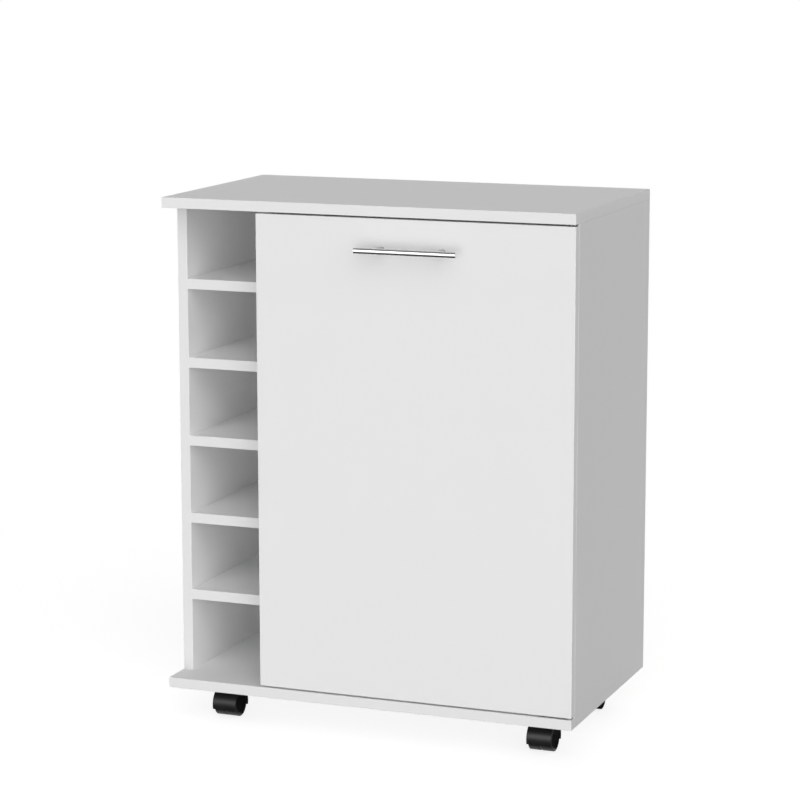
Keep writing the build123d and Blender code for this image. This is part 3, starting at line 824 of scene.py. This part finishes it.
def measure_fixing(points):
    """Return where a fixing's head lies, where it faces, and its sizes in the order of fixing_sizes."""
    low = Vector(map(min, zip(*points)))
    high = Vector(map(max, zip(*points)))
    middle = (low + high) / 2
    axis = max(range(3), key=lambda number: high[number] - low[number])
    length = high[axis] - low[axis]
    across = [number for number in range(3) if number != axis]
    rings = []
    for point in points:
        radius = math.hypot(*[point[number] - middle[number] for number in across])
        rings.append((point[axis] - middle[axis], radius))
    side = math.copysign(1.0, max(rings, key=lambda ring: ring[1])[0])
    facing = Vector((0, 0, 0))
    facing[axis] = side
    profile = [(length / 2 - side * height, radius) for height, radius in rings]
    head = max(radius for depth, radius in profile)
    shank = max(radius for depth, radius in profile if depth > shank_from_share * length)
    rim = max(radius for depth, radius in profile if depth < least_edge_round)
    side_depth = max(depth for depth, radius in profile if radius > head_side_share * head)
    shoulder = min(depth for depth, radius in profile
                   if depth > least_edge_round and abs(radius - shank) < shank_slack * shank)
    sizes = (head, shank, max(head - rim, least_edge_round), side_depth, shoulder, length)
    return middle + facing * length / 2, facing, sizes


print("a caster screw measures, in mm:")
for size, value in zip(fixing_sizes, measure_fixing(caster_screws[0])[2]):
    print("   ", size, round(value / MM, 2))

# %% [markdown]
# ## Fixings as node trees
#
# One Geometry Nodes tree makes each kind of fixing. Its body is turned, as on a lathe: a line of points
# gets a height and a radius for each point and becomes a curve, and a ring is swept along it. A bmesh
# loop would make the same mesh, but a tree keeps the sizes as named inputs that can be tried out by hand.

# %% Turned bodies
fixing_sides = 24
least_step = 0.02 * MM
rim_angles = (0, 30, 60, 90)
tip_length = 1.5 * MM
tip_share = 0.3


def pick(graph, values):
    """Return a value chosen by a point's number."""
    switch = graph.node("GeometryNodeIndexSwitch", {"data_type": "FLOAT"})
    made = switch.socket.node
    while len(made.index_switch_items) < len(values):
        made.index_switch_items.new()
    for number, value in enumerate([graph.node("GeometryNodeInputIndex"), *values]):
        graph.feed(made.inputs[number], value)
    return switch


def turned(graph, profile):
    """Return a closed solid turned about Z through steps of height and radius, from the top down."""
    heights, radii = zip(*profile)
    line = graph.node("GeometryNodeMeshLine", inputs={"Count": len(profile)})
    place = graph.node("ShaderNodeCombineXYZ", inputs={"Z": pick(graph, heights)})
    line = graph.node("GeometryNodeSetPosition", inputs={"Geometry": line, "Position": place})
    curve = graph.node("GeometryNodeMeshToCurve", inputs={"Mesh": line})
    circle = {"Resolution": fixing_sides, "Radius": 1.0}
    ring = graph.node("GeometryNodeCurvePrimitiveCircle", inputs=circle)
    return graph.node("GeometryNodeCurveToMesh", inputs={
        "Curve": curve, "Profile Curve": ring, "Scale": pick(graph, radii), "Fill Caps": True})


def fixing_profile(head, shank, edge, side, shoulder, length):
    """Return steps of height and radius: a rounded rim, the head's side, the shank and the tip."""
    profile = []
    for angle in rim_angles:
        rise = 1 - math.cos(math.radians(angle))
        reach = 1 - math.sin(math.radians(angle))
        profile.append((edge * -rise, head - edge * reach))
    deepest = head.graph.maths("MAXIMUM", side, edge) + least_step
    profile.append((deepest * -1.0, head))
    profile.append((shoulder * -1.0 - 2 * least_step, shank))
    profile.append((tip_length - length, shank))
    profile.append((length * -1.0, shank * tip_share))
    return profile


print("bodies of", fixing_sides, "sides, with", len(rim_angles), "steps round the rim")

# %% [markdown]
# The recess for the driver is a cross or a hexagon, whose sizes are shares of the head's radius. It could
# be a dark patch in the finish, but a cut one looks right from every side. Simple bars are made here, and
# a Mesh Boolean takes them out of the body below.

# %% Recesses
cross_arm = (1.2, 0.34, 0.6)
hexagon_radius = 0.46
hexagon_depth = 1.0


def cross_cutters(graph, head):
    """Return two crossed bars that cut a cross recess."""
    length, width, height = cross_arm
    cutters = []
    for arm in (cross_arm, (width, length, height)):
        sizes = {axis: head * share for axis, share in zip(AXES, arm)}
        extent = graph.node("ShaderNodeCombineXYZ", inputs=sizes)
        cutters.append(graph.node("GeometryNodeMeshCube", inputs={"Size": extent}))
    return cutters


def hexagon_cutters(graph, head):
    """Return a six-sided bar that cuts a socket."""
    return [graph.node("GeometryNodeMeshCylinder", inputs={
        "Vertices": 6, "Radius": head * hexagon_radius, "Depth": head * hexagon_depth})]


print("a cross", cross_arm[0], "and a hexagon", 2 * hexagon_radius, "head radii across")

# %% [markdown]
# A tree joins these steps. It turns the body, cuts the recess, and stands a copy on each measured point,
# turned to face as the CAD one does. Each copy also has a random turn about its own axis, as screws have
# that a person drove. The seed is one of the inputs, so the turns come out the same each time.


# %% Fixing trees
def random_turn(graph, facing, seed):
    """Return a rotation that turns Z to a direction, and then about it by a random angle."""
    turn = graph.node("FunctionNodeAlignRotationToVector", {"axis": "Z"}, {"Vector": facing})
    full_turn = {2: 0.0, 3: math.tau, "Seed": seed}
    angle = graph.node("FunctionNodeRandomValue", {"data_type": "FLOAT"}, full_turn, 1)
    spin = graph.node("ShaderNodeCombineXYZ", inputs={"Z": angle})
    spin = graph.node("FunctionNodeEulerToRotation", inputs={0: spin})
    return graph.node("FunctionNodeRotateRotation", {"rotation_space": "LOCAL"}, {0: turn, 1: spin})


def make_fixing_tree(name, make_cutters):
    """Build the tree of one kind of fixing, which stands on points that know where they face."""
    tree = bpy.data.node_groups.new(name, "GeometryNodeTree")
    sockets = [("Places", "Geometry"), *[(size, "Float") for size in fixing_sizes], ("Seed", "Int"),
               ("Finish", "Material")]
    for socket, kind in sockets:
        tree.interface.new_socket(socket, in_out="INPUT", socket_type="NodeSocket" + kind)
    tree.interface.new_socket("Fixings", in_out="OUTPUT", socket_type="NodeSocketGeometry")
    graph = Graph(tree)
    start = graph.node("NodeGroupInput")
    sizes = [start.other(size) for size in fixing_sizes]
    solid = turned(graph, fixing_profile(*sizes))
    if make_cutters:
        cut = {"operation": "DIFFERENCE", "solver": "MANIFOLD"}
        solid = graph.node("GeometryNodeMeshBoolean", cut, {0: solid, 1: make_cutters(graph, sizes[0])})
    vector = {"data_type": "FLOAT_VECTOR"}
    facing = graph.node("GeometryNodeInputNamedAttribute", vector, {"Name": "facing"})
    turn = random_turn(graph, facing, start.other("Seed"))
    copies = graph.node("GeometryNodeInstanceOnPoints", inputs={
        "Points": start.other("Places"), "Instance": solid, "Rotation": turn})
    copies = graph.node("GeometryNodeRealizeInstances", inputs={"Geometry": copies})
    copies = graph.node("GeometryNodeSetMaterial", inputs={
        "Geometry": copies, "Material": start.other("Finish")})
    graph.node("NodeGroupOutput", inputs={"Fixings": copies})
    return tree


cross_fixing = make_fixing_tree("cross_fixing", cross_cutters)
hexagon_fixing = make_fixing_tree("hexagon_fixing", hexagon_cutters)
plain_fixing = make_fixing_tree("plain_fixing", None)
print("trees with", [len(tree.nodes) for tree in (cross_fixing, hexagon_fixing, plain_fixing)], "nodes")

# %% [markdown]
# ## Stand the fixings in their holes
#
# Each CAD node of fixings now gets its detailed stand-in: a mesh of bare points carries the tree, the
# evaluated result becomes a plain mesh, and the stand-in rides on the body that held the plain ones. A
# live modifier would look the same here, but a plain mesh is what other programs can read.

# %% Stand the fixings in their holes
fixing_kinds = {
    "caster_screws": cross_fixing,
    "catch_screws": cross_fixing,
    "handle_screws": cross_fixing,
    "carcass_wood_screws": cross_fixing,
    "door_wood_screws": cross_fixing,
    "base_screws": hexagon_fixing,
    "back_panel_nails": plain_fixing,
}
sharp_angle = math.radians(35)
body_of = {node: body for body, held in frame["record"]["behaviour"]["bodies"].items() for node in held}


def stand_fixings(node, tree, seed):
    """Replace the plain fixings of one CAD node, which are all of one size, by detailed ones."""
    heads, facings, sizes = zip(*[measure_fixing(points) for points in loose_solids(node)])
    places = bpy.data.meshes.new("detailed_" + node)
    places.from_pydata(heads, [], [])
    directions = places.attributes.new("facing", "FLOAT_VECTOR", "POINT")
    directions.data.foreach_set("vector", [value for facing in facings for value in facing])
    piece = add_object("detailed_" + node, places)
    modifier = piece.modifiers.new("fixings", "NODES")
    modifier.node_group = tree
    values = {**dict(zip(fixing_sizes, sizes[0])), "Seed": seed, "Finish": finishes[slot_of[node]]}
    for socket in tree.interface.items_tree:
        if socket.name in values:
            modifier[socket.identifier] = values[socket.name]
    made = bpy.data.meshes.new_from_object(piece.evaluated_get(bpy.context.evaluated_depsgraph_get()))
    piece.modifiers.remove(modifier)
    piece.data = made
    made.shade_smooth()
    made.set_sharp_from_angle(angle=sharp_angle)
    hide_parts(node)
    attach(piece, body_of[node])
    print(len(heads), node, "with", len(made.polygons), "faces")


for seed, (node, tree) in enumerate(fixing_kinds.items()):
    stand_fixings(node, tree, seed)
